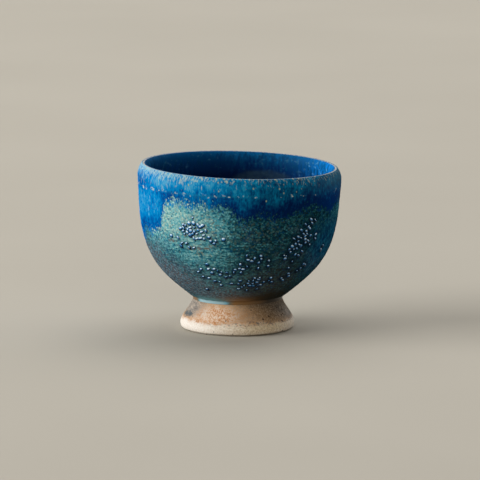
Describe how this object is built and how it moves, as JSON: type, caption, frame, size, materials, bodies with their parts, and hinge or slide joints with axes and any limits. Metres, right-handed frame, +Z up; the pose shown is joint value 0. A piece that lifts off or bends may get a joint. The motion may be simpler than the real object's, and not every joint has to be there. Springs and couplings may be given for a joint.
{
  "type": "footed cup",
  "caption": "Round hand-thrown stoneware cup on a flared hollow foot, with blue glaze inside and round the lip and a speckled lower coat with raised glaze beads, for a small drink.",
  "frame": {"origin": "on the standing face, below the middle of the mouth", "axes": "+Z up out of the mouth, -Y to the front, +X to the side that the rim dips to"},
  "size_m": [0.0719, 0.0718, 0.0588],
  "materials": {
    "stoneware": "bare fired clay, matte",
    "blue_glaze": "glossy copper-blue glaze",
    "speckled_glaze": "dry speckled grey-green glaze with glossy dark beads",
    "turquoise_glaze": "glossy pooled turquoise glaze",
    "foot_wash": "thin matte wash, flashed orange to grey-brown"
  },
  "bodies": {
    "root": {"bowl": "stoneware", "foot_ring": "stoneware", "luting_slip": "stoneware", "inside_glaze": "blue_glaze", "outside_glaze": "speckled_glaze", "rim_glaze": "blue_glaze", "glaze_roll": "turquoise_glaze", "foot_wash": "foot_wash"}
  },
  "joints": []
}
